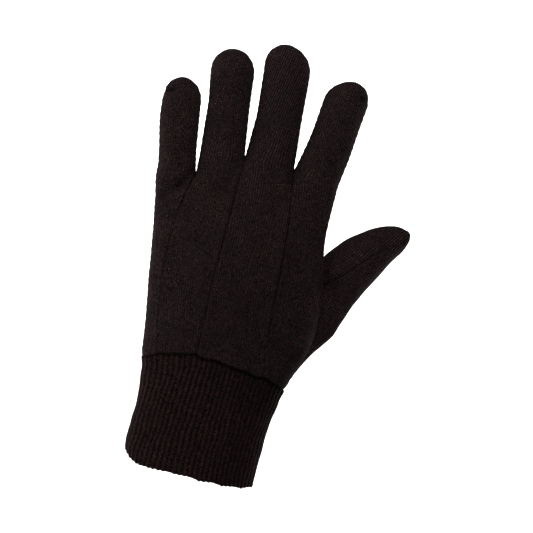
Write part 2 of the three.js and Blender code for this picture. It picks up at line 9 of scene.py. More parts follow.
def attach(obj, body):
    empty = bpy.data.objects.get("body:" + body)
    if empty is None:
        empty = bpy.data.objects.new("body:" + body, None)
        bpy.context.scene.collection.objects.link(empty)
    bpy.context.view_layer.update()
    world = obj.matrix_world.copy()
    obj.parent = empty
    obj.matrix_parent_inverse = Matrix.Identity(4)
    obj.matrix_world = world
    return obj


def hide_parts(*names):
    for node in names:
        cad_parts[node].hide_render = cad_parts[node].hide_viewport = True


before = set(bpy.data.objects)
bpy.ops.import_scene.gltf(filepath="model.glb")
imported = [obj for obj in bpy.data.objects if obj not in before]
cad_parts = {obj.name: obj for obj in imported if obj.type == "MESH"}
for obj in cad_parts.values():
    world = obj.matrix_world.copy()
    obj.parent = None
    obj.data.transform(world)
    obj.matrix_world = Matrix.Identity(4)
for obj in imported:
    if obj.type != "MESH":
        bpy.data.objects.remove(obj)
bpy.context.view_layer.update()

MM = 0.001
BACK, FRONT = -1, 1

# Cloth and seams
CLOTH = 1.5
NAP = 0.2
SEAM_GROOVE = 0.75
SEAM_GROOVE_WIDE = 0.58
CROTCH_REACH = 5.0
HEM_GROOVE = 0.7
HEM_GROOVE_WIDE = 0.8
HEM_WANDER_REACH = 2.5
PUCKER = 0.12
PUCKER_PITCH = 4.2
PUCKER_REACH = 2.5

# Sizes of the hand, as the solids have them
HAND_WIDTH = 104.0
HAND_LENGTH = 128.0
PALM_DEPTH = 35.0
SECTION_POWER = 2.5
WEB_LENGTH = 30.0
THENAR_BULGE = 5.0
THUMB_ROOT_DEPTH = 18.0
THUMB_CROTCH_SET = 0.2
THUMB_ROOT_SET = 1.0
WRIST = 63.5

FINGERS = {
    "little": dict(root=0.89, centre=-0.48, length=54.2, width=23.8, depth=18),
    "ring": dict(root=0.953, centre=-0.24, length=70, width=26.4, depth=20),
    "middle": dict(root=1, centre=0.034, length=74, width=28, depth=20.5),
    "index": dict(root=0.984, centre=0.313, length=63.8, width=26.6, depth=20),
}
NAMES = list(FINGERS)
# Sections up each finger: share of its length, sideways shift, width and depth as shares
UP, SHIFT, WIDE, DEEP = range(4)
FINGER_SECTIONS = {
    "little": [(0, 0, 1, 1), (0.22, -0.105, 0.98, 1), (0.5, -0.22, 1.01, 1),
               (0.78, -0.3, 0.97, 0.96), (1, -0.33, 0.95, 0.9)],
    "ring": [(0, 0, 1.03, 1), (0.3, -0.083, 0.985, 1), (0.5, -0.135, 0.95, 0.97),
             (0.7, -0.215, 0.985, 0.97), (0.85, -0.255, 1, 0.95), (1, -0.26, 0.96, 0.9)],
    "middle": [(0, 0, 1.09, 1), (0.2, -0.022, 1.035, 1), (0.4, -0.04, 0.975, 0.98),
               (0.7, -0.1, 0.99, 0.97), (0.88, -0.15, 1, 0.95), (1, -0.2, 0.98, 0.9)],
    "index": [(0, 0, 1.06, 1), (0.27, 0.107, 1.02, 1), (0.46, 0.16, 0.99, 0.98),
              (0.65, 0.205, 0.985, 0.97), (0.85, 0.255, 1, 0.95), (1, 0.33, 0.97, 0.9)],
}
TIP_ROUND = 0.5

# The five lines between the strips: wrist seam's height on the back and in the palm, top, and the
# sideways place at even steps, as shares of HAND_LENGTH and HAND_WIDTH
LINES = [
    dict(foot=0, front=0, top=0.845, across=(-0.413, -0.452, -0.495, -0.537, -0.588)),
    dict(foot=0.032, front=0.018, top=0.892, across=(-0.318, -0.378, -0.413, -0.411, -0.368)),
    dict(foot=0.069, front=0.027, top=0.997, across=(-0.108, -0.116, -0.117, -0.115, -0.112)),
    dict(foot=0.038, front=0.027, top=1.003, across=(0.294, 0.26, 0.245, 0.222, 0.178)),
    dict(foot=0.007, front=0.007, top=0.969, across=(0.425, 0.517, 0.5, 0.449, 0.446)),
]
LITTLE_SIDE, INDEX_SIDE = 0, 4
HAND_ROWS = [0, 0.1, 0.2, 0.3, 0.4, 0.5, 0.58, 0.63, 0.68, 0.73, 0.78, 0.84, 0.9, 0.95, 1]
TOP_ROW = len(HAND_ROWS) - 1
ROOT_ROW, CROTCH_ROW = 6, 10
THUMB_ROOT_UP, THUMB_CROTCH_UP = 0.523, 0.645
# Height, and depth on the back and in the palm, as shares of HAND_LENGTH and PALM_DEPTH
HAND_DEPTHS = [(0, 0.52, 0.54), (0.25, 0.48, 0.53), (0.5, 0.47, 0.52), (0.75, 0.44, 0.47),
               (1, 0.37, 0.4)]
# Rows up the ball of the thumb: row, thenar line, outline, outline's height, how far it has turned
LINE, EDGE, EDGE_UP, TURNED = range(1, 5)
THENAR_ROWS = [(0, 0.345, 0.43, 0.007, 0), (1, 0.345, 0.455, 0.08, 0.25),
               (2, 0.345, 0.515, 0.17, 0.55), (3, 0.35, 0.575, 0.245, 0.8),
               (4, 0.36, 0.617, 0.305, 1), (5, 0.38, 0.648, 0.37, 1), (6, 0.39, 0.674, 0.43, 1)]
# The ball of the thumb is a round bulge: its middle, width and height as shares
THENAR_X, THENAR_WIDE, THENAR_Z, THENAR_TALL = 0.34, 0.27, 0.33, 0.28
THENAR_EDGE_SET = 0.45

THUMB_LEAN = radians(40)
THUMB_LENGTH, THUMB_WIDTH, THUMB_DEPTH, THUMB_SET = 61.5, 30, 23, 7.0
# Sections along the thumb: place, outer edge, seam, inner edge and depth, as shares
OUTER, SEAM, INNER, THICK = range(1, 5)
THUMB_SECTIONS = [
    (0.2, 0.665, 0.08, -0.435, 1), (0.31, 0.6, 0.1, -0.445, 1),
    (0.43, 0.55, 0.105, -0.44, 0.98), (0.56, 0.5, 0.13, -0.415, 0.95),
    (0.69, 0.455, 0.175, -0.36, 0.89), (0.81, 0.415, 0.235, -0.25, 0.78),
    (0.9, 0.36, 0.265, -0.12, 0.6), (0.965, 0.295, 0.23, 0.02, 0.35),
    (1, 0.19, 0.19, 0.19, 0),
]

# The cuff: sections as up, left, right and depth shares
CUFF_WALL, CUFF_TUCK, CUFF_INSET, HEM_EASE = 2.0, 4.0, 2.3, 1.0
CUFF_SECTIONS = [(0, -0.382, 0.388, 0.50), (0.12, -0.388, 0.386, 0.505),
                 (0.35, -0.384, 0.386, 0.50), (0.6, -0.384, 0.394, 0.495),
                 (0.85, -0.397, 0.415, 0.49)]
FLARE_FOOT = CUFF_SECTIONS[-1][0]
RIBS, RIB_DEPTH, RIB_PITCH = 67, 0.42, 2.95
RIB_STRETCH, RIB_LEAN = 0.1, 0.02
RIB_COLUMNS, CUFF_ROWS = 8, 150
COURSE = 1.35
# The stitches of the jersey, drawn a little coarser than real ones so that they show, and how far
# and how slowly the knit drifts from straight
WALE, JERSEY_COURSE = 1.45, 1.5
KNIT_DRIFT, KNIT_DRIFT_SCALE = (1.6, 1.0, 0.0), 0.16
# Over how many rows above the hand and the thumb's root the knit goes over into the next one
KNIT_BLEND, THUMB_KNIT_BLEND = 20, 16
MOUTH_RISE, MOUTH_RISE_POWER = 8.0, 10
MOUTH_LIFT, MOUTH_LIFT_POWER = 3.0, 3

# How finely the surfaces are drawn
ROWS_PER_STEP = 10
FINGER_STEPS, TIP_STEPS = 62, 16
THUMB_STEPS = 8
BACK_COLUMNS, PALM_COLUMNS, THUMB_COLUMNS = 40, 32, 56
SKIN_SMOOTHING = 6
FAR = 1000.0

# Soft relief of the cloth, in millimetres: how high it ripples, stands up beside a seam, behind
# the hem and on the hump of the back, and where that hump is; then where a painted shade lies
# below the hump, on the back of the hand, and how strong it is
RIPPLE, WELT, HEM_ROLL, HUMP = 0.28, 0.22, 0.2, 1.4
HUMP_X, HUMP_WIDE, HUMP_Z, HUMP_TALL = 15, 34, 135, 38
PAINTED_DIM_Z, PAINTED_DIM_TALL, PAINTED_DIM = 98, 40, 0.34


def mix(a, b, t):
    return a + (b - a) * t


def bell(distance, wide):
    return np.exp(-(distance / wide) ** 2)


def read(table, column, t):
    """A smooth curve through one column of a table: cubic between rows, its slope at a row the
    slope between the rows beside it, and level past the ends."""
    keys = np.array([row[0] for row in table], float)
    vals = np.array([row[column] for row in table], float)
    slope = np.gradient(vals, keys, edge_order=1)
    slope[1:-1] = (vals[2:] - vals[:-2]) / (keys[2:] - keys[:-2])
    t = np.clip(np.asarray(t, float), keys[0], keys[-1])
    i = np.clip(np.searchsorted(keys, t, side="left") - 1, 0, len(keys) - 2)
    span = keys[i + 1] - keys[i]
    s = (t - keys[i]) / span
    ends = mix(vals[i], vals[i + 1], s * s * (3 - 2 * s))
    return ends + span * (slope[i] * s * (1 - s) ** 2 - slope[i + 1] * s * s * (1 - s))


def line_x(k, share):
    across = LINES[k]["across"]
    table = [(j / (len(across) - 1), value) for j, value in enumerate(across)]
    return HAND_WIDTH * read(table, 1, share)


def hem_wander(x):
    """The wrist seam isn't quite straight: a few waves of different lengths across the hand."""
    return 0.35 * np.sin(x / 2.6 + 1) + 0.3 * np.sin(x / 4.3) + 0.25 * np.sin(x / 1.7 + 2)


def line_z(k, share, side):
    foot = LINES[k]["foot" if side == BACK else "front"]
    return WRIST + HAND_LENGTH * mix(foot, LINES[k]["top"], share)


def line_share(k, up):
    foot, top = LINES[k]["foot"], LINES[k]["top"]
    return (up - foot) / (top - foot)


def hand_sides(z):
    up = (z - WRIST) / HAND_LENGTH
    return [line_x(k, line_share(k, up)) for k in (LITTLE_SIDE, INDEX_SIDE)]


def dome(x, z, side):
    """The hand's half section: depth times (1 - |s|^p)^(1/p), s from -1 to 1 between the hand's
    sides, and in the palm the round bulge of the ball of the thumb added to it."""
    left, right = hand_sides(z)
    s = np.abs(2 * x - left - right) / (right - left)
    depth = PALM_DEPTH * read(HAND_DEPTHS, 1 if side == BACK else 2, (z - WRIST) / HAND_LENGTH)
    oval = depth * np.maximum(0, 1 - s ** SECTION_POWER) ** (1 / SECTION_POWER)
    if side == BACK:
        return oval
    bulge = THENAR_BULGE * bell(x / HAND_WIDTH - THENAR_X, THENAR_WIDE)
    bulge = bulge * bell((z - WRIST) / HAND_LENGTH - THENAR_Z, THENAR_TALL)
    return oval + bulge * np.clip((1 - s) * 3, 0, 1)


def finger_section(name, z):
    """Left edge, right edge and half depth of a finger at a height, closed by a round cap."""
    finger, rows = FINGERS[name], FINGER_SECTIONS[name]
    up = (z - WRIST - HAND_LENGTH * finger["root"]) / finger["length"]
    cap_share = TIP_ROUND * finger["width"] / finger["length"]
    past = np.maximum(0, up - 1 + cap_share) / cap_share
    cap = np.sqrt(np.maximum(0, 1 - past ** 2))
    centre = HAND_WIDTH * finger["centre"] + finger["width"] * read(rows, SHIFT, up)
    half = finger["width"] * read(rows, WIDE, up) * cap / 2
    return centre - half, centre + half, finger["depth"] * read(rows, DEEP, up) * cap / 2


def web(z, crotch_z):
    t = np.clip((crotch_z - z) / WEB_LENGTH, 0, 1)
    return np.sqrt(1 - (1 - t) ** 2)


def point(x, y, z):
    x, y, z = np.broadcast_arrays(x, y, z)
    return np.stack([x, y, z], axis=-1).astype(float)


def index_side_share(row):
    stops = [line_share(INDEX_SIDE, up) for up in (THUMB_ROOT_UP, THUMB_CROTCH_UP)]
    return np.interp(row, [0, ROOT_ROW, CROTCH_ROW, TOP_ROW], [0, *stops, 1])


def arch(start, through, end, turn):
    """Half an ellipse about the middle of two points, through a third at a quarter turn."""
    middle = (start + end) / 2
    turn = np.asarray(turn)[..., None]
    return middle + (start - middle) * np.cos(turn) + (through - middle) * np.sin(turn)


def index_side(row, y):
    share = index_side_share(row)
    return point(line_x(INDEX_SIDE, share), y, line_z(INDEX_SIDE, share, BACK))


THUMB_ROOT = index_side(ROOT_ROW, -THUMB_ROOT_SET)
THUMB_CROTCH = index_side(CROTCH_ROW, THUMB_CROTCH_SET)
THUMB_HEEL = point(HAND_WIDTH * THENAR_ROWS[ROOT_ROW][LINE], THUMB_ROOT_DEPTH - THUMB_ROOT_SET,
                   THUMB_ROOT[2] - CLOTH)
ALONG = np.array([sin(THUMB_LEAN), 0, cos(THUMB_LEAN)])
ACROSS = np.array([cos(THUMB_LEAN), 0, -sin(THUMB_LEAN)])


def thumb_base(turn):
    """The edge that the inner half of the thumb is set into: up the index side to the crotch, and
    then down an arch to the heel of the thumb in the palm."""
    climb = np.clip(turn / (pi / 2), 0, 1)
    up = index_side(mix(ROOT_ROW, CROTCH_ROW, climb), mix(THUMB_ROOT[1], THUMB_CROTCH[1], climb))
    down = arch(THUMB_ROOT, THUMB_CROTCH, THUMB_HEEL, turn)
    return np.where((turn > pi / 2)[:, None], down, up)


def line_points(k, row, side):
    """Points of one of the five lines at the rows given, on the back or in the palm."""
    row = np.asarray(row, float)
    if k == INDEX_SIDE:
        share = index_side_share(row)
        x, z = line_x(k, share), line_z(k, share, side)
        left = (TOP_ROW - row) / (TOP_ROW - CROTCH_ROW)
        above = point(x, THUMB_CROTCH[1] * left, z)
        turn = np.clip((row - ROOT_ROW) / (CROTCH_ROW - ROOT_ROW), 0, 1) * pi / 2
        beside = thumb_base(turn if side == BACK else pi - turn)
        if side == BACK:
            below = point(x, THUMB_ROOT[1] * row / ROOT_ROW, z)
        else:
            share = np.clip(row / ROOT_ROW, 0, 1)
            x = HAND_WIDTH * read(THENAR_ROWS, LINE, row)
            z = mix(WRIST + HAND_LENGTH * LINES[k - 1]["front"], THUMB_HEEL[2], share)
            below = point(x, mix(dome(x, z, FRONT), THUMB_HEEL[1], share ** 2), z)
        row = row[:, None]
        return np.where(row > CROTCH_ROW, above, np.where(row >= ROOT_ROW, beside, below))
    share = np.interp(row, range(TOP_ROW + 1), HAND_ROWS)
    x, z = line_x(k, share), line_z(k, share, side)
    if k == LITTLE_SIDE:
        return point(x, 0, z)
    return point(x, side * dome(x, z, side) * web(z, line_z(k, 1, side)), z)


def finger_shares(name):
    """Even steps up the finger, then steps that follow the cap's round end."""
    cap = TIP_ROUND * FINGERS[name]["width"] / FINGERS[name]["length"]
    body = np.linspace(0, 1 - cap, FINGER_STEPS + 1)[1:]
    turn = np.linspace(0, pi / 2, TIP_STEPS + 1)[1:]
    return np.concatenate([body, 1 - cap + cap * np.sin(turn)])


HAND_STEPS = np.arange(0, TOP_ROW * ROWS_PER_STEP + 1) / ROWS_PER_STEP


def finger_strip(k, side, columns):
    """One finger's strip from the wrist to the tip. Across a row the depth is the finger's half
    ellipse below its crotches blended into the hand's oval, and it meets both lines."""
    name = NAMES[k]
    left, right = (line_points(k + end, HAND_STEPS, side) for end in (0, 1))
    crotch_z = [line_z(k + end, 1, side) for end in (0, 1)]
    open_l, open_r = web(left[:, 2], crotch_z[0]), web(right[:, 2], crotch_z[1])
    shares = finger_shares(name)
    finger = FINGERS[name]
    tip = WRIST + HAND_LENGTH * finger["root"] + finger["length"]
    sides = []
    for end, line in enumerate((left, right)):
        crotch = line[-1]
        z = mix(crotch[2], tip, shares)
        offset = crotch[0] - finger_section(name, crotch[2])[end]
        sides.append(point(finger_section(name, z)[end] + offset * (1 - shares) ** 3, 0, z))
    left, right = np.vstack([left, sides[0]]), np.vstack([right, sides[1]])
    open_l, open_r = (np.pad(v, (0, len(shares)))[:, None] for v in (open_l, open_r))
    even = np.linspace(0, 1, columns + 1)
    round_l = 1 if k == LITTLE_SIDE else 1 - 0.75 * open_l
    round_r = 1 if k + 1 == INDEX_SIDE else 1 - 0.75 * open_r
    t = even + ((1 - np.cos(pi * even)) / 2 - even) * mix(round_l, round_r, even)
    x = mix(left[:, :1], right[:, :1], t)
    z = mix(left[:, 2:], right[:, 2:], t)
    own = finger_section(name, z)[2] * 2 * np.sqrt(np.maximum(0, t * (1 - t)))
    y = side * mix(own, dome(x, z, side), mix(open_l, open_r, t))
    y += (left[:, 1] - y[:, 0])[:, None] * (1 - t) ** 3
    y += (right[:, 1] - y[:, -1])[:, None] * t ** 3
    return point(x, y, z)


def thumb_row(section, across, turns):
    deep = section[THICK] * THUMB_DEPTH / 2

    def place(share, y):
        spot = THUMB_ROOT + ALONG * section[0] * THUMB_LENGTH + ACROSS * share * THUMB_WIDTH
        return np.array([spot[0], y, spot[2]])

    return arch(place(section[SEAM], THUMB_SET - deep), place(across, THUMB_SET),
                place(section[SEAM], THUMB_SET + deep), turns)


def through_rows(rows, steps, first_slope=None):
    """Rows of points joined by a smooth cubic from row to row, in even steps of the row count."""
    rows = np.array(rows)
    slope = np.empty_like(rows)
    slope[1:-1] = (rows[2:] - rows[:-2]) / 2
    slope[0], slope[-1] = rows[1] - rows[0], rows[-1] - rows[-2]
    if first_slope is not None:
        slope[0] = first_slope
    at = np.arange((len(rows) - 1) * steps + 1) / steps
    i = np.minimum(at.astype(int), len(rows) - 2)
    s = (at - i)[:, None, None]
    ends = mix(rows[i], rows[i + 1], s * s * (3 - 2 * s))
    return ends + slope[i] * s * (1 - s) ** 2 - slope[i + 1] * s * s * (1 - s)


def thumb_outer(columns):
    """The outer half of the thumb. Below its root each row turns from the wrist's oval into half
    an ellipse from the back's edge, over the outline, to the thenar line."""
    even = np.linspace(0, 1, columns + 1)
    turns = pi * even
    steps = HAND_STEPS[HAND_STEPS <= ROOT_ROW + 1e-9]
    start, end = (line_points(INDEX_SIDE, steps, side)[:, None] for side in (BACK, FRONT))
    edge = point(HAND_WIDTH * read(THENAR_ROWS, EDGE, steps), 0,
                 WRIST + HAND_LENGTH * read(THENAR_ROWS, EDGE_UP, steps))[:, None]
    edge[..., 1] = mix(start[..., 1], end[..., 1], THENAR_EDGE_SET)
    own = arch(start, edge, end, turns)
    z = mix(start[..., 2], end[..., 2], even)
    left, right = hand_sides(z)
    s = np.clip((2 * end[..., 0] - left - right) / (right - left), 0, 1)
    swing = np.cos(np.arccos(s ** (SECTION_POWER / 2)) * even) ** (2 / SECTION_POWER)
    x = (left + right) / 2 + swing * (right - left) / 2
    y = dome(x, z, FRONT) + start[..., 1] * (1 - even)
    y += (end[..., 1] - dome(end[..., 0], end[..., 2], FRONT)) * even
    turned = np.clip(read(THENAR_ROWS, TURNED, steps), 0, 1)[:, None, None]
    low = mix(point(x, y, z), own, turned)
    low[:, 0], low[:, -1] = start[:, 0], end[:, 0]
    rows = [low[-1], *(thumb_row(section, section[OUTER], turns) for section in THUMB_SECTIONS)]
    straight, bent = rows[1] - rows[0], (rows[1] - low[-1 - ROWS_PER_STEP]) / 2
    first_slope = mix(straight, bent, np.sin(turns)[:, None])
    return np.concatenate([low[:-1], through_rows(rows, THUMB_STEPS, first_slope)])


def thumb_inner():
    """The half of the thumb that faces the index finger, from the crotch's edge to the tip."""
    columns = 2 * (CROTCH_ROW - ROOT_ROW) * ROWS_PER_STEP
    turns = np.linspace(0, pi, columns + 1)
    rows = [thumb_base(turns)]
    rows += [thumb_row(section, section[INNER], turns) for section in THUMB_SECTIONS]
    return through_rows(rows, THUMB_STEPS)


def ripple(x, z, seed, waves, shortest, longest):
    """A soft random height between about -1 and 1: the sum of sine waves in random directions."""
    rng = np.random.default_rng(seed)
    x, z = np.broadcast_arrays(x, z)
    total = np.zeros(x.shape)
    for _ in range(waves):
        turn, phase = rng.uniform(0, pi), rng.uniform(0, tau)
        length = rng.uniform(shortest, longest)
        total += np.sin(tau * (x * cos(turn) + z * sin(turn)) / length + phase)
    return total / sqrt(waves)


# Folds and dents in the cloth of the back, a row each: x and z of its start, x and z of its end,
# depth, half width, and how strongly painted shade darkens the colour in it; the last row is
# painted shade alone, with no depth, on the heel of the thumb by the hem
FOLDS = [
    (-39.5, 178, -46, 167.7, 1.9, 2.6, 0.45),
    (-46, 167.7, -54, 158.5, 1.5, 2.8, 0.3),
    (-45, 178, -56, 167, -0.6, 3, 0),
    (-40, 163, -47, 152, -0.7, 3.5, 0),
    (-16, 184, -17.5, 173, 1.2, 4.5, 0.25),
    (-68.5, 220.6, -63.2, 222.8, 0.9, 1.3, 1.3),
    (54, 244.6, 47.5, 244.9, 0.9, 1.3, 1.3),
    (17.3, 190, 18, 185.5, 1.4, 2, 0.5),
    (47, 92, 38, 78, 0.6, 4.5, 0),
    (55, 84, 45, 64, 0, 10, 1),
]
# The same on the thumb, beside the edge of the hand
THUMB_FOLDS = [
    (49, 144, 51, 137, 0.3, 2.5, 0.1),
    (51, 137, 52, 130, 0.3, 2, 0.1),
    (52, 130.5, 57.5, 134.3, 0.5, 1.2, 0.25),
    (54.5, 139, 58, 139.5, -0.8, 2, 0),
]
# How deep each line between the strips is drawn in, and so how much painted shade darkens it: height
# and share of SEAM_GROOVE
SEAM_DRAWN = [
    [(64, 0.25), (260, 0.25)],
    [(64, 0.12), (112, 0.12), (121, 0.4), (134, 0.4), (142, 0.12), (152, 0.3), (160, 0.8),
     (178, 1)],
    [(64, 0.3), (90, 0.45), (120, 0.5), (150, 0.65), (180, 0.85), (191, 1)],
    [(64, 0.25), (84, 0.45), (130, 0.75), (165, 0.75), (180, 0.5), (192, 1)],
    [(64, 0.2), (80, 0.45), (100, 0.45), (128, 0.7), (135, 0.25), (188, 0.25)],
]
SIDE_SEAM, THUMB_SEAM, THUMB_ROOT_SEAM = 0.25, 0.5, 0.7
# How far the wales show through the nap of each strip, at heights up it
WALES_SHOWN = {
    "little": [(64, 0.2), (260, 0.35)],
    "ring": [(64, 0.4), (150, 0.35), (190, 0.45), (260, 0.35)],
    "middle": [(64, 0.2), (110, 0.4), (160, 0.45), (180, 0.6), (205, 0.8), (240, 1), (262, 0.6)],
    "index": [(64, 0.2), (140, 0.3), (190, 0.5), (240, 0.6)],
}
THUMB_WALES = 0.75
# How the wales of each strip lean, as the slope at heights up it, and how its courses tilt
KNIT_LEAN = {
    "little": [(64, 0), (160, 0), (215, 0.1)],
    "ring": [(64, -0.056), (150, -0.05), (200, 0.09)],
    "middle": [(64, -0.03), (170, 0), (185, 0.035), (210, 0.18), (240, 0.29)],
    "index": [(64, 0.05), (140, 0.05), (170, 0.14), (190, -0.05), (205, -0.14), (240, -0.02)],
}
KNIT_TILT = {"little": 0, "ring": -0.05, "middle": 0.1, "index": 0.19}
# How far the knit of the thumb's halves leans from +Z
OUTER_LEAN, INNER_LEAN = radians(21), radians(37)
TIP_FADE = 10.0


def fold_depth(folds, x, z):
    """The sum of grooves: each is its depth times exp(-(distance / half width)^2) from a line. With
    it, the painted shade of the grooves: at each point the strongest shade of any, fading the same
    way.
    """
    depth, dark = np.zeros_like(x), np.zeros_like(x)
    for x0, z0, x1, z1, deep, wide, shade in folds:
        run, rise = x1 - x0, z1 - z0
        t = np.clip(((x - x0) * run + (z - z0) * rise) / (run ** 2 + rise ** 2), 0, 1)
        groove = bell(np.hypot(x - x0 - t * run, z - z0 - t * rise), wide)
        depth += deep * groove
        dark = np.maximum(dark, shade * groove)
    return depth, dark


# The skin is gathered as one welded surface, so that strips that meet share their points and
# their normals, and is then taken apart into its pieces.
STRIPS = []


def add_strip(piece, grid, reverse, uv, seams, wales, first_row=False):
    """Keeps a strip with each point's place in the knit, its distance to the strip's seams and how
    deep they are drawn in there. seams gives, for the first and the last column, the depth at each
    row, 0 where the cloth goes on, and wales how far the knit shows through the nap."""
    across, along = lengths_along(grid, 1), lengths_along(grid, 0)
    distance, groove = np.full(across.shape, FAR), np.zeros(across.shape)
    for way, drawn in zip((across, across[:, -1:] - across), seams):
        drawn = np.broadcast_to(drawn, len(grid))[:, None]
        distance = np.minimum(distance, np.where(drawn > 0, way, FAR))
        groove = np.maximum(groove, drawn * bell(way, SEAM_GROOVE_WIDE))
    if first_row:
        distance = np.minimum(distance, along)
        groove = np.maximum(groove, THUMB_ROOT_SEAM * bell(along, SEAM_GROOVE_WIDE))
    hem = np.full_like(along, FAR) if first_row else along
    thumb = np.full(across.shape, float(len(grid) != len(HAND_STEPS) + FINGER_STEPS + TIP_STEPS))
    STRIPS.append(dict(piece=piece, grid=grid, reverse=reverse, uv=uv, distance=distance,
                       groove=groove, hem=hem, thumb=thumb,
                       wales=np.broadcast_to(wales, across.shape)))


def lengths_along(grid, axis):
    """The way along a grid's rows or columns to each of its points."""
    steps = np.linalg.norm(np.diff(grid, axis=axis), axis=2)
    start = np.zeros_like(steps[:1] if axis == 0 else steps[:, :1])
    return np.cumsum(np.concatenate([start, steps], axis=axis), axis=axis)


def strip_knit(grid, name=None):
    """The knit of a long strip: its place on the row's own way across, squeezed in the hand so
    that strips of one panel go on into each other. The back's wales lean and its courses tilt."""
    across = lengths_along(grid, 1)
    total, chord = across[:, -1:], grid[:, -1:, 0] - grid[:, :1, 0]
    in_hand = np.arange(len(HAND_STEPS), len(HAND_STEPS) - len(grid), -1)[:, None]
    in_hand = np.clip(in_hand / KNIT_BLEND + 1, 0, 1)
    scale = mix(1, chord / np.maximum(total, 0.1), in_hand)
    across = (across - total / 2) * scale
    height = grid[..., 2]
    middle = (grid[:, :1, 0] + grid[:, -1:, 0]) / 2
    if name is None:
        return np.stack([middle + across, height], axis=-1)
    steps = np.linspace(WRIST - 5, 275, 600)
    slopes = np.interp(steps, *zip(*KNIT_LEAN[name]))
    lean = np.interp(height, steps, np.cumsum(slopes) * (steps[1] - steps[0]))
    return np.stack([across - lean, height + KNIT_TILT[name] * across], axis=-1)


def thumb_knit(grid, turn, joined):
    """The knit of half the thumb, laid out flat from the back's seam, with its wales leaning from
    +Z by a turn. Where the half goes on into the palm, it takes on the palm's knit."""
    c, s = cos(turn), sin(turn)
    x, z = grid[..., 0] - THUMB_HEEL[0], grid[..., 2] - THUMB_HEEL[2]
    half = grid.shape[1] // 2
    run, rise = (v[:, half:half + 1] - v[:, :1] for v in (x, z))
    run[-1], rise[-1] = run[-2], rise[-2]
    length = np.hypot(run, rise)
    across = lengths_along(grid, 1)
    flat_x, flat_z = x[:, :1] + across * run / length, z[:, :1] + across * rise / length
    u, v = flat_x * c - flat_z * s, flat_x * s + flat_z * c
    weight = joined * into_palm(grid.shape, 1)
    return np.stack([mix(u, x, weight) + THUMB_HEEL[0], mix(v, z, weight) + THUMB_HEEL[2]], axis=-1)


def into_palm(shape, reach):
    """How far each point of the thumb's outer half has gone over into the palm: 0 up to its
    outline and along the thumb itself, 1 at the thenar line or sooner, as the reach says."""
    share = np.clip(np.linspace(-1, 1, shape[1]) / reach, 0, 1)
    rows = ROOT_ROW * ROWS_PER_STEP - np.arange(shape[0])
    rows = np.clip(rows / THUMB_KNIT_BLEND + 1, 0, 1)
    return share * share * (3 - 2 * share) * rows[:, None]


def drawn_in(k, line):
    return np.interp(line[:, 2], *zip(*SEAM_DRAWN[k]))


def tip_fade(grid):
    """1 along a strip, and down to nearly nothing at the rounded tip where its seams meet."""
    left = lengths_along(grid[:, [0, -1]], 0)
    left = (left[-1:] - left).min(axis=1)
    return 0.15 + 0.85 * np.clip(left / TIP_FADE, 0, 1)


def build_skin():
    rows_hand = len(HAND_STEPS)
    root = ROOT_ROW * ROWS_PER_STEP
    for k, name in enumerate(NAMES):
        grid = finger_strip(k, BACK, BACK_COLUMNS)
        fade = tip_fade(grid)
        sides = [drawn_in(k + end, grid[:, -end]) for end in (0, 1)]
        for side in sides:
            side[rows_hand:] = SIDE_SEAM
        shown = np.interp(grid[:, :1, 2], *zip(*WALES_SHOWN[name]))
        add_strip(f"back_{name}", grid, False, strip_knit(grid, name),
                  [side * fade for side in sides], shown)
        grid = finger_strip(k, FRONT, PALM_COLUMNS)
        in_finger = (np.arange(len(grid)) >= rows_hand - 1) * SIDE_SEAM * tip_fade(grid)
        left = SIDE_SEAM * tip_fade(grid) if k == LITTLE_SIDE else in_finger
        right = in_finger.copy()
        if k + 1 == INDEX_SIDE:
            right[root:rows_hand] = SIDE_SEAM
        add_strip("palm_panel", grid, True, strip_knit(grid), [left, right], shown)
    outer = thumb_outer(THUMB_COLUMNS)
    back = np.where(np.arange(len(outer)) < root, drawn_in(INDEX_SIDE, outer[:, 0]), THUMB_SEAM)
    front = np.where(np.arange(len(outer)) < root, 0, THUMB_SEAM)
    fade = tip_fade(outer)
    shown = mix(THUMB_WALES, 0.1, into_palm(outer.shape, 0.3))
    add_strip("palm_panel", outer, False, thumb_knit(outer, OUTER_LEAN, 1),
              [back * fade, front * fade], shown)
    inner = thumb_inner()
    fade = THUMB_SEAM * tip_fade(inner)
    add_strip("thumb_inner", inner, True, thumb_knit(inner, INNER_LEAN, 0), [fade, fade],
              THUMB_WALES, True)


def weld_skin():
    """Merges the points that strips share and returns points, and each strip's quads and ids."""
    points = np.concatenate([s["grid"].reshape(-1, 3) for s in STRIPS])
    _, first, ids = np.unique(np.round(points, 3), axis=0, return_index=True,
                              return_inverse=True)
    ids = ids.ravel()
    at = 0
    for s in STRIPS:
        rows, columns = s["grid"].shape[:2]
        s["ids"] = ids[at:at + rows * columns].reshape(rows, columns)
        at += rows * columns
        s["quads"] = quads_of(s["ids"], s["reverse"])
    return points[first]


def quads_of(ids, reverse):
    a, b, c, d = ids[:-1, :-1], ids[:-1, 1:], ids[1:, 1:], ids[1:, :-1]
    return np.stack([a, d, c, b] if reverse else [a, b, c, d], axis=-1).reshape(-1, 4)


def triangles_of(quads):
    """Two triangles for each quad, without those that a pole has shrunk to nothing."""
    tris = np.concatenate([quads[:, [0, 1, 2]], quads[:, [0, 2, 3]]])
    keep = (tris[:, 0] != tris[:, 1]) & (tris[:, 1] != tris[:, 2]) & (tris[:, 0] != tris[:, 2])
    return tris[keep]


def normals_of(points, tris):
    face = np.cross(points[tris[:, 1]] - points[tris[:, 0]], points[tris[:, 2]] - points[tris[:, 0]])
    normals = np.zeros_like(points)
    for corner in range(3):
        np.add.at(normals, tris[:, corner], face)
    return normals / np.maximum(np.linalg.norm(normals, axis=1, keepdims=True), 1e-12)


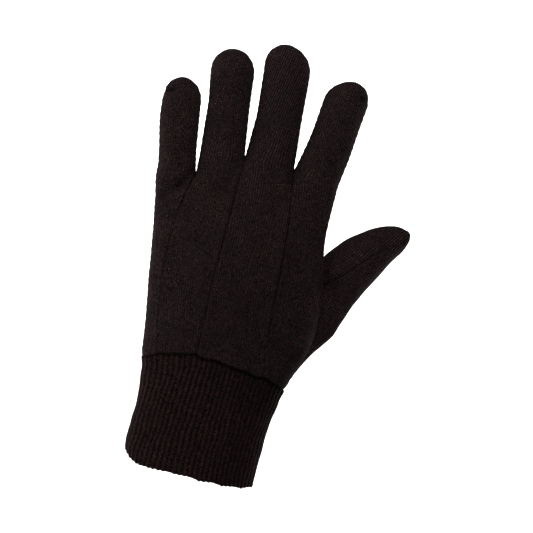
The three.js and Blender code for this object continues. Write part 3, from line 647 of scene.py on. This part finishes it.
def smoothed(points, tris, times, freedom):
    """Moves each point up to half way to the mean of its neighbours, a few times over."""
    edges = np.unique(np.sort(np.concatenate([tris[:, [0, 1]], tris[:, [1, 2]], tris[:, [2, 0]]]),
                              axis=1), axis=0)
    count = np.bincount(edges.ravel(), minlength=len(points))[:, None]
    for _ in range(times):
        total = np.zeros_like(points)
        np.add.at(total, edges[:, 0], points[edges[:, 1]])
        np.add.at(total, edges[:, 1], points[edges[:, 0]])
        points = mix(points, total / np.maximum(count, 1), freedom[:, None] / 2)
    return points


def gathered(size, key, ufunc, start):
    """A field of the strips at each welded point: the least or the most that they have there."""
    out = np.full(size, float(start))
    for strip in STRIPS:
        ufunc.at(out, strip["ids"].ravel(), strip[key].ravel())
    return out


def open_edges(tris):
    """Edges that one triangle alone has, in the direction that it runs them."""
    halves = np.concatenate([tris[:, [0, 1]], tris[:, [1, 2]], tris[:, [2, 0]]])
    size = int(tris.max()) + 1
    code, mirror = halves[:, 0] * size + halves[:, 1], halves[:, 1] * size + halves[:, 0]
    return halves[~np.isin(code, mirror)]


def linked(name, data):
    obj = bpy.data.objects.new(name, data)
    bpy.context.scene.collection.objects.link(obj)
    return obj


def mesh_object(name, points, tris, uv=None, **fields):
    """A mesh object at the origin, its points in metres."""
    mesh = bpy.data.meshes.new(name)
    mesh.vertices.add(len(points))
    mesh.vertices.foreach_set("co", (points * MM).astype(np.float32).ravel())
    mesh.loops.add(tris.size)
    mesh.loops.foreach_set("vertex_index", tris.astype(np.int32).ravel())
    mesh.polygons.add(len(tris))
    mesh.polygons.foreach_set("loop_start", np.arange(0, tris.size, 3, dtype=np.int32))
    mesh.update(calc_edges=True)
    mesh.validate()
    mesh.shade_smooth()
    if uv is not None:
        loops = np.empty(len(mesh.loops), np.int32)
        mesh.loops.foreach_get("vertex_index", loops)
        layer = mesh.uv_layers.new(name="knit_mm")
        layer.data.foreach_set("uv", uv[loops].astype(np.float32).ravel())
    for field, values in fields.items():
        attribute = mesh.attributes.new(field, "FLOAT", "POINT")
        attribute.data.foreach_set("value", values.astype(np.float32))
    return linked(name, mesh)


def cloth_shell(name, points, normals, tris, uv, **fields):
    """A piece of cloth: the skin, the same skin one cloth thickness inside, and the cut edge
    between them, which the next piece is sewn to."""
    edges = open_edges(tris)
    used, local = np.unique(tris, return_inverse=True)
    local = local.reshape(tris.shape)
    outer = points[used]
    inner = outer - normals[used] * CLOTH
    place = np.zeros(len(points), int)
    place[used] = np.arange(len(used))
    a, b = place[edges[:, 0]], place[edges[:, 1]]
    n = len(used)
    faces = np.concatenate([local, local[:, ::-1] + n,
                            np.stack([b, a, a + n], 1), np.stack([b, a + n, b + n], 1)])
    fields = {key: np.concatenate([values[used]] * 2) for key, values in fields.items()}
    return mesh_object(name, np.concatenate([outer, inner]), faces,
                       np.concatenate([uv[used]] * 2), **fields)


def make_body():
    build_skin()
    points = weld_skin()
    size = len(points)
    tris = triangles_of(np.concatenate([s["quads"] for s in STRIPS]))
    distance = gathered(size, "distance", np.minimum, FAR)
    hem = gathered(size, "hem", np.minimum, FAR)
    groove = gathered(size, "groove", np.maximum, 0)
    wales = gathered(size, "wales", np.maximum, 0)
    crotches = [THUMB_CROTCH, *(line_points(k, [TOP_ROW], BACK)[0] for k in (1, 2, 3))]
    near = np.min([np.linalg.norm(points - spot, axis=1) for spot in crotches], axis=0)
    away = 1 - bell(near, CROTCH_REACH)
    freedom = away.copy()
    freedom[open_edges(tris).ravel()] = 0
    points = smoothed(points, tris, SKIN_SMOOTHING, freedom)
    normals = normals_of(points, tris)
    x, z = points[:, 0], points[:, 2]
    on_back = np.clip(1 - 3 * normals[:, 1], 0, 1)
    on_thumb = gathered(size, "thumb", np.maximum, 0)
    # Depth of the folds, and dark, their painted shade, from the back's folds or the thumb's
    depth, dark = (mix(*pair, on_thumb) for pair in zip(fold_depth(FOLDS, x, z),
                                                        fold_depth(THUMB_FOLDS, x, z)))
    lift = NAP + RIPPLE * ripple(x, z, 7, 10, 14, 40) * np.clip(distance / 6, 0.25, 1) * away
    lift -= depth * on_back * mix(0.3, 1, away)
    hump = bell(x - HUMP_X, HUMP_WIDE) * np.clip(-2 * normals[:, 1], 0, 1) * (1 - on_thumb)
    lift += HUMP * bell(z - HUMP_Z, HUMP_TALL) * hump * np.clip(hem / 20, 0, 1)
    # Painted shade on the back of the hand below the hump, darkening the colour there
    painted_dim = PAINTED_DIM * hump * bell(z - PAINTED_DIM_Z, PAINTED_DIM_TALL)
    uneven = 1 + 0.3 * ripple(x, z, 3, 8, 3, 9)
    lift -= SEAM_GROOVE * groove * uneven * mix(0.15, 1, away)
    hem_groove = bell(hem, HEM_GROOVE_WIDE)
    lift -= HEM_GROOVE * hem_groove * (1 + 0.35 * ripple(x, z, 13, 8, 2.5, 8))
    lift += HEM_ROLL * bell(hem - 3.2, 2.2)
    lift += WELT * bell(distance - 2.0, 1.1)
    pucker = np.sin(tau * z / PUCKER_PITCH + 2.0 * ripple(x, z, 11, 5, 20, 45))
    lift += PUCKER * pucker * bell(distance - 1.2, PUCKER_REACH)
    points = points + normals * lift[:, None]
    points[:, 2] += hem_wander(x) * bell(hem, HEM_WANDER_REACH)
    normals = normals_of(points, tris)
    # Painted shade, carried to the colour as a point attribute: darker in the seam and hem grooves,
    # in the folds, dents and nicks on the back, and below the hump
    hollow = np.maximum(groove * uneven, np.maximum(hem_groove * uneven, dark * on_back))
    hollow = np.clip(np.maximum(hollow, 0.1) + painted_dim, 0, 1.3)
    pieces = {}
    for name in dict.fromkeys(s["piece"] for s in STRIPS):
        strips = [s for s in STRIPS if s["piece"] == name]
        own = triangles_of(np.concatenate([s["quads"] for s in strips]))
        uv = np.zeros((size, 2))
        for strip in strips:
            uv[strip["ids"].ravel()] = strip["uv"].reshape(-1, 2)
        pieces[name] = cloth_shell(name + "_cloth", points, normals, own, uv, hollow=hollow,
                                   wales=wales)
    return pieces


def wrist_seam(x, side):
    lines = range(len(LINES))
    return np.interp(x, [line_x(k, 0) for k in lines], [line_z(k, 0, side) for k in lines])


def oval(turn):
    power = 2 / SECTION_POWER
    c, s = np.cos(turn), np.sin(turn)
    return np.sign(c) * np.abs(c) ** power, np.sign(s) * np.abs(s) ** power


def cuff_turns(shares):
    """Turns that are evenly spaced along the cuff's section, so that all ribs are as wide."""
    fine = np.linspace(0, tau, 4001)
    c, s = oval(fine)
    half = HAND_WIDTH * (read(CUFF_SECTIONS, 2, 0.5) - read(CUFF_SECTIONS, 1, 0.5)) / 2
    deep = PALM_DEPTH * read(CUFF_SECTIONS, 3, 0.5)
    steps = np.hypot(np.diff(c * half), np.diff(s * deep))
    length = np.concatenate([[0], np.cumsum(steps)])
    return np.interp(shares * length[-1], length, fine), length[-1]


def cuff_surface(turn, up, above, inset):
    """The cuff's smooth tube: an oval whose edges and depth follow the sections up to the hem of
    the hand, with its height mixed from the mouth's rim to the wrist seam."""
    hem_left, hem_right = hand_sides(WRIST)
    flare = np.clip((up - FLARE_FOOT) / (1 - FLARE_FOOT), 0, 1) ** 1.5
    left = mix(HAND_WIDTH * read(CUFF_SECTIONS, 1, up), hem_left - HEM_EASE, flare)
    right = mix(HAND_WIDTH * read(CUFF_SECTIONS, 2, up), hem_right + HEM_EASE, flare)
    c, s = oval(turn)
    half = (right - left) / 2 - inset
    low = PALM_DEPTH * read(CUFF_SECTIONS, 3, up)
    hem_deep = PALM_DEPTH * np.where(s < 0, HAND_DEPTHS[0][1], HAND_DEPTHS[0][2])
    deep = mix(low, hem_deep, flare) - inset
    x, y = (left + right) / 2 + c * half, s * deep
    mouth = MOUTH_RISE * np.maximum(0, -c) ** MOUTH_RISE_POWER
    mouth = mouth + MOUTH_LIFT * np.maximum(0, c) ** MOUTH_LIFT_POWER + 0.7 * (1 - np.abs(c))
    seam = np.where(y < 0, wrist_seam(x, BACK), wrist_seam(x, FRONT))
    wander = hem_wander(x) * bell((1 - up) * WRIST, HEM_WANDER_REACH)
    return point(x, y, mix(mouth, seam, up) + above + wander)


def make_cuff():
    """The ribbed cuff: the smooth tube with ridges and narrow valleys cut into its outside, each
    ridge a column of small stitches, a rolled rim, and a plain inside."""
    columns, rows = RIBS * RIB_COLUMNS, CUFF_ROWS
    share = np.arange(columns)[None] / columns
    up = np.linspace(0, 1, rows + 1)[:, None]
    turned = share - RIB_STRETCH * np.sin(tau * share) / tau
    turned = turned + RIB_LEAN * bell(share - 0.6, 0.12) * (up - 0.5)
    turns, around = cuff_turns(turned)
    way, height = share * around, up * WRIST
    wander = 0.16 * ripple(way, height, 21, 8, 14, 50)
    ribs = RIBS * share + wander
    ridge = np.abs(np.cos(pi * ribs)) ** 1.2
    hem = (1 - up) * WRIST
    course = height / COURSE + 0.5 * (1 - ridge)
    cut = RIB_DEPTH * (1 - ridge) - 0.12 * np.sin(tau * course) * ridge - 0.2
    cut = cut + 0.18 * ripple(way, height, 5, 8, 12, 36)
    cut = cut + 0.6 * bell(hem, 0.9) + 0.45 * bell(height, 0.7)
    frill = 0.9 * (ridge - 0.5) + 0.4 * ripple(way, 0, 17, 8, 5, 18)
    frill = frill * bell(height, 1.5)
    outside = cuff_surface(turns, up + 0 * share, -frill, cut)
    tucks = [cuff_surface(turns[-1], np.ones(columns), above, CUFF_INSET)
             for above in (0.3, CUFF_TUCK)]
    coarse, _ = cuff_turns(np.arange(RIBS * 2) / (RIBS * 2))
    inner_up = np.linspace(0, 1, 25)[:, None]
    inner_inset = CUFF_WALL + CUFF_INSET * np.clip((inner_up - FLARE_FOOT) / (1 - FLARE_FOOT), 0, 1)
    inside = cuff_surface(coarse, inner_up, 0, inner_inset + 0 * coarse)
    inside_top = cuff_surface(coarse, np.ones(len(coarse)), CUFF_TUCK, CUFF_WALL + CUFF_INSET)
    outer = np.concatenate([outside, np.array(tucks)])
    inner = np.concatenate([inside, inside_top[None]])
    points = np.concatenate([outer.reshape(-1, 3), inner.reshape(-1, 3)])

    def ids(first, grid):
        table = first + np.arange(grid.shape[0] * grid.shape[1]).reshape(grid.shape[:2])
        return np.concatenate([table, table[:, :1]], axis=1)

    out, inn = ids(0, outer), ids(len(outer) * columns, inner)

    def rim(outer_row, inner_row, top):
        per = (len(outer_row) - 1) // (len(inner_row) - 1)
        a, b = outer_row[:-1], outer_row[1:]
        p = inner_row[np.minimum((np.arange(len(a)) + per // 2) // per, len(inner_row) - 1)]
        fan = np.stack([a, b, p], 1)
        ends = np.arange(per // 2 - 1, len(a), per) + 1
        link = np.stack([outer_row[ends], inner_row[1:], inner_row[:-1]], 1)
        tris = np.concatenate([fan, link])
        return tris if top else tris[:, ::-1]

    walls = triangles_of(np.concatenate([quads_of(out, False), quads_of(inn, True)]))
    faces = np.concatenate([walls, rim(out[0], inn[0], False), rim(out[-1], inn[-1], True)])
    pitch = around / RIBS
    uv_out = np.stack([ribs * pitch, np.broadcast_to(height, ribs.shape)], -1)
    uv_out = np.concatenate([uv_out, uv_out[-1:], uv_out[-1:]]).reshape(-1, 2)
    uv_in = np.stack([np.broadcast_to(np.arange(RIBS * 2) * pitch / 2, inner.shape[:2]),
                      inner[..., 2]], -1).reshape(-1, 2)
    # Painted shade on the cuff: in the groove under the hem, growing from its left to its right and
    # more so just below the hem, and full on the tuck under the hem; none on the inside
    beside = np.clip((outside[..., 0] + 30) / 60, 0, 1)
    hollow = bell(hem, 1.4) + 0.1 + beside * (0.25 + 0.3 * bell(hem, 18))
    hollow = np.concatenate([hollow.ravel(), np.ones(2 * columns), np.zeros(len(uv_in))])
    return mesh_object("knit_cuff_ribs", points, faces, np.concatenate([uv_out, uv_in]),
                       hollow=hollow)


def linear(code):
    """An sRGB hex colour as linear red, green, blue and alpha."""
    parts = [int(code[i:i + 2], 16) / 255 for i in (1, 3, 5)]
    return [c / 12.92 if c <= 0.04045 else ((c + 0.055) / 1.055) ** 2.4 for c in parts] + [1.0]


def add_node(tree, kind, inputs=(), output=0, **settings):
    """Adds a shader node and returns one of its outputs. Settings are its properties. Inputs are
    values or other nodes' outputs for its sockets, in their order or by name."""
    node = tree.nodes.new("ShaderNode" + kind)
    for key, value in settings.items():
        setattr(node, key, value)
    for socket, value in inputs.items() if isinstance(inputs, dict) else enumerate(inputs):
        if isinstance(value, bpy.types.NodeSocket):
            tree.links.new(value, node.inputs[socket])
        else:
            node.inputs[socket].default_value = value
    return node.outputs[output]


def wave(add, value, period, shift=0.0):
    """A cosine of a length in millimetres, from 0 to 1 and back once in each period."""
    turn = add("Math", (value, tau / period, shift), operation="MULTIPLY_ADD")
    cosine = add("Math", (turn,), operation="COSINE")
    return add("Math", (cosine, 0.5, 0.5), operation="MULTIPLY_ADD")


def start_cloth(name):
    """A new material, what adds its nodes, a point's place in the knit in millimetres, even and
    straightened less than a real knit is, and its place on the glove."""
    material = bpy.data.materials.new(name)
    material.use_nodes = True
    add = partial(add_node, material.node_tree)
    even = add("UVMap", uv_map="knit_mm")
    noise = add("TexNoise", (even, 0, KNIT_DRIFT_SCALE), "Color")
    drift = add("VectorMath", (noise, KNIT_DRIFT), operation="MULTIPLY")
    place = add("VectorMath", (even, drift), operation="ADD")
    return material, add, even, place, add("TexCoord", output="Object")


def by_stitch(add, place, across, along):
    """A random number and a random colour for each stitch, from its row and its column."""
    cell = add("VectorMath", (place, (across, along, 1)), operation="DIVIDE")
    cell = add("VectorMath", (cell,), operation="FLOOR")
    return add("TexWhiteNoise", (cell,), noise_dimensions="2D").node.outputs


def dyed_cotton(add, body, stitch, chance, grain, tones, glints):
    """Heathered yarn: from dark to mid by fine noise, by chance from stitch to stitch and by the
    stitches' own shading; its hue drifts between rosy and olive, with sparse paler flecks."""
    dark, rosy, olive, rust, light = (linear(tone) for tone in tones)
    value = add("Math", (chance["Value"], 0.15, 0.43), operation="MULTIPLY_ADD")
    value = add("Math", (stitch, 0.2, value), operation="MULTIPLY_ADD")
    fine = add("MapRange", (add("TexNoise", (body, 0, 1900, 0)), 0.38, 0.62, -0.5, 0.5))
    value = add("Math", (fine, grain, value), operation="MULTIPLY_ADD")
    hue = add("Math", (add("TexNoise", (body, 0, 350, 1)), 0.3,
                       add("TexNoise", (body, 0, 1900, 1))), operation="MULTIPLY_ADD")
    hue = add("MapRange", (hue, 0.5, 0.8))
    rusty = add("MapRange", (add("SeparateColor", (chance["Color"],)), 0.5, 1.0, 0.0, 0.6))
    rusty = add("MapRange", (add("TexNoise", (body, 0, 1500, 1)), 0.5, 0.65, 0.0, rusty))
    flecks = add("MapRange", (add("TexNoise", (body, 0, 1700, 2)), 0.66, 0.76, 0.0, glints))
    colour = None
    for share, low, high in ((hue, rosy, olive), (value, dark, None), (rusty, None, rust),
                             (flecks, None, light)):
        colour = add("Mix", {"Factor": share, "A": low or colour, "B": high or colour}, 2,
                     data_type="RGBA")
    return colour


def finish_cloth(material, add, colour, shades, height, distance, sheen, sheen_tint):
    """Multiplies the colour by the given shade factors, and darkens it with the painted shade that
    the mesh carries as a point attribute, in seams, hems, folds and other shaded places. The surface
    is matt, with a nap that catches light at its edges."""
    hollow = add("Attribute", output="Fac", attribute_name="hollow")
    # Painted shade: full colour at 0.1 and below, down to 0.07 of it at 1.3
    for shade in (*shades, add("MapRange", (hollow, 0.1, 1.3, 1.0, 0.07))):
        colour = add("VectorMath", (colour, shade), operation="MULTIPLY")
    bump = add("Bump", {"Height": height, "Distance": distance * MM, "Strength": 1.0})
    shader = material.node_tree.nodes["Principled BSDF"]
    material.node_tree.links.new(colour, shader.inputs["Base Color"])
    material.node_tree.links.new(bump, shader.inputs["Normal"])
    shader.inputs["Roughness"].default_value = 0.95
    shader.inputs["IOR"].default_value = 1.5
    shader.inputs["Specular IOR Level"].default_value = 0.06
    shader.inputs["Sheen Weight"].default_value = sheen
    shader.inputs["Sheen Roughness"].default_value = 0.3
    shader.inputs["Sheen Tint"].default_value = linear(sheen_tint)
    return material


def jersey_cloth():
    """Brushed cotton jersey, knitted plain and dyed dark brown: columns of small V stitches, the
    wales, that show more in some places than in others through the nap."""
    material, add, _, place, body = start_cloth("cotton_jersey_plain_knit")
    x, y = add("SeparateXYZ", (place,)).node.outputs[:2]
    leg = add("Math", (x, WALE / 2), operation="PINGPONG")
    slanted = add("Math", (leg, -JERSEY_COURSE / WALE, y), operation="MULTIPLY_ADD")
    loop = add("Math", (wave(add, slanted, JERSEY_COURSE, pi), 0.38, -0.5),
               operation="MULTIPLY_ADD")
    stitch = add("Math", (wave(add, x, WALE, pi), 0.62, loop), operation="MULTIPLY_ADD")
    nap = add("Attribute", output="Fac", attribute_name="wales")
    patches = add("MapRange", (add("TexNoise", (body, 0, 60)), 0.35, 0.65, 0.7, 1.2))
    shown = add("Math", (nap, patches), operation="MULTIPLY")
    stitch = add("Math", (stitch, shown, 0.5), operation="MULTIPLY_ADD")
    grain = add("Math", (nap, -0.5, 1.14), operation="MULTIPLY_ADD")
    colour = dyed_cotton(add, body, stitch, by_stitch(add, place, WALE, JERSEY_COURSE), grain,
                         ("#040304", "#35242a", "#2d2624", "#432b27", "#8a6c55"), 0.65)
    # Painted shading of the stitches: the colour is darkened between their legs and lightened on
    # them, and the bump draws the same stitches
    painted_stitch_shading = add("Math", (stitch, 2.2, -0.1), operation="MULTIPLY_ADD")
    clouds = add("MapRange", (add("TexNoise", (body, 0, 60, 1)), 0.3, 0.7, 0.88, 1.12))
    height = add("Math", (stitch, add("TexNoise", (body, 0, 1500))), operation="ADD")
    return finish_cloth(material, add, colour, (painted_stitch_shading, clouds), height, 0.22, 0.05, "#d8949a")


def rib_cloth():
    """Cotton rib knit: each ridge is one wale of round, full reddish stitches, and between ridges
    the knit turns under. Painted shade darkens the valleys between ridges, less where a dot of yarn
    sits at each course, and painted shading makes the stitches lighter and darker in turn along each
    course."""
    material, add, even, _, body = start_cloth("cotton_rib_knit")
    x, y = add("SeparateXYZ", (even,)).node.outputs[:2]
    ridge = wave(add, x, RIB_PITCH)
    loop = wave(add, add("Math", (ridge, -0.5 * COURSE, y), operation="MULTIPLY_ADD"), COURSE)
    ragged = add("Math", (add("TexNoise", (body, 0, 900)), 1.1, ridge), operation="MULTIPLY_ADD")
    top = add("MapRange", (ragged, 0.57, 1.05))
    stitch = add("Math", (loop, 0.3, 0.0), operation="MULTIPLY_ADD")
    stitch = add("Math", (top, 0.7, stitch), operation="MULTIPLY_ADD")
    colour = dyed_cotton(add, body, stitch, by_stitch(add, even, RIB_PITCH / 2, COURSE), 1.25,
                         ("#040303", "#321e22", "#2a2120", "#482924", "#85604c"), 0.7)
    # Painted shade in the valleys between ridges, and painted shading of the stitches along each
    # course
    under = add("Math", (top, 1.0), operation="SUBTRACT")
    dots = add("Math", (loop, -0.45, 0.75), operation="MULTIPLY_ADD")
    painted_valley_shade = add("Math", (under, dots, 1.0), operation="MULTIPLY_ADD")
    painted_loop_shading = add("Math", (loop, 0.35, 0.9), operation="MULTIPLY_ADD")
    height = add("Math", (add("TexNoise", (body, 0, 1500)), 0.5, stitch),
                 operation="MULTIPLY_ADD")
    return finish_cloth(material, add, colour, (painted_valley_shade, painted_loop_shading), height, 0.25, 0.07, "#e08c86")


def make_stage():
    """A pale sweep: a level floor below the glove that curves up into a backdrop behind it."""
    half, depth, front, back, bend, top = 4.0, -0.30, -3.0, 2.2, 0.6, 3.5
    turn = np.linspace(-pi / 2, 0, 13)
    ys = np.concatenate([[front], back - bend + bend * np.cos(turn), [back]])
    zs = np.concatenate([[depth], depth + bend + bend * np.sin(turn), [top]])
    count = len(ys)
    points = np.stack([np.repeat([-half, half], count), np.tile(ys, 2), np.tile(zs, 2)], 1) / MM
    i = np.arange(count - 1)
    quads = np.stack([i, i + count, i + count + 1, i + 1], 1)
    sweep = mesh_object("stage_sweep", points, triangles_of(quads))
    paper = bpy.data.materials.new("white_paper")
    paper.use_nodes = True
    shader = paper.node_tree.nodes["Principled BSDF"]
    shader.inputs["Base Color"].default_value = linear("#f4f4f4")
    shader.inputs["Roughness"].default_value = 0.9
    sweep.data.materials.append(paper)


def area_light(name, place, target, size, power):
    light = bpy.data.lights.new(name, "AREA")
    light.size, light.energy = size, power
    aim(linked(name, light), place, np.subtract(target, place), (0, 0, 1))


def aim(obj, place, forward, up):
    """Places an object so that its -Z looks forward and its +Y is as near up as it can be."""
    back = -np.array(forward, float) / np.linalg.norm(forward)
    right = np.cross(up, back)
    right /= np.linalg.norm(right)
    matrix = np.eye(4)
    matrix[:3, :4] = np.stack([right, np.cross(back, right), back, place], axis=1)
    obj.matrix_world = Matrix(matrix.tolist())


# Name, place, what it points at, size in metres and power in watts
LIGHTS = [
    ("key_softbox", (-0.9, -0.3, 0.1), (0.02, 0, 0.13), 0.5, 3.1),
    ("top_softbox", (0.0, -0.42, 0.8), (0.02, 0, 0.15), 0.4, 2.2),
    ("fill_softbox", (1.0, -0.9, 0.35), (0.06, 0, 0.13), 0.6, 1.1),
    ("left_rim", (-1.0, 0.5, 0.0), (0.02, 0, 0.1), 0.5, 6.0),
    ("right_rim", (1.0, 0.6, 0.0), (0.02, 0, 0.13), 0.5, 7.5),
    ("backdrop_light", (-0.9, 1.5, 0.3), (0, 2.2, 0.3), 0.5, 25),
    ("backdrop_light", (0.9, 1.5, 0.3), (0, 2.2, 0.3), 0.5, 25),
]


def make_lights():
    world = bpy.data.worlds.new("studio")
    bpy.context.scene.world = world
    world.use_nodes = True
    background = world.node_tree.nodes["Background"]
    background.inputs["Color"].default_value = (1, 1, 1, 1)
    background.inputs["Strength"].default_value = 0.1
    for light in LIGHTS:
        area_light(*light)


# The camera looks square at the back of the hand, through a long lens, from far enough away that
# the glove isn't foreshortened, and is rolled because the glove leans in the picture.
ROLL = radians(14)
FRAME_WIDTH = 0.3198
CAMERA_FAR = 1.9
FRAME_MIDDLE = (0.0165, 0.0, 0.1334)


def make_camera():
    camera = bpy.data.cameras.new("camera")
    camera.sensor_width = 36
    camera.lens = camera.sensor_width * CAMERA_FAR / FRAME_WIDTH
    camera.clip_end = 50
    obj = linked("camera", camera)
    place = np.subtract(FRAME_MIDDLE, (0, CAMERA_FAR, 0))
    aim(obj, place, (0, 1, 0), (-sin(ROLL), 0, cos(ROLL)))
    bpy.context.scene.camera = obj


make_camera()
make_stage()
make_lights()
bpy.context.scene.view_settings.view_transform = "Standard"

jersey, rib = jersey_cloth(), rib_cloth()
for node, cloth in make_body().items():
    cloth.data.materials.append(jersey)
    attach(cloth, "root")
    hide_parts(node)

cuff = make_cuff()
cuff.data.materials.append(rib)
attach(cuff, "root")
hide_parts("knit_cuff")
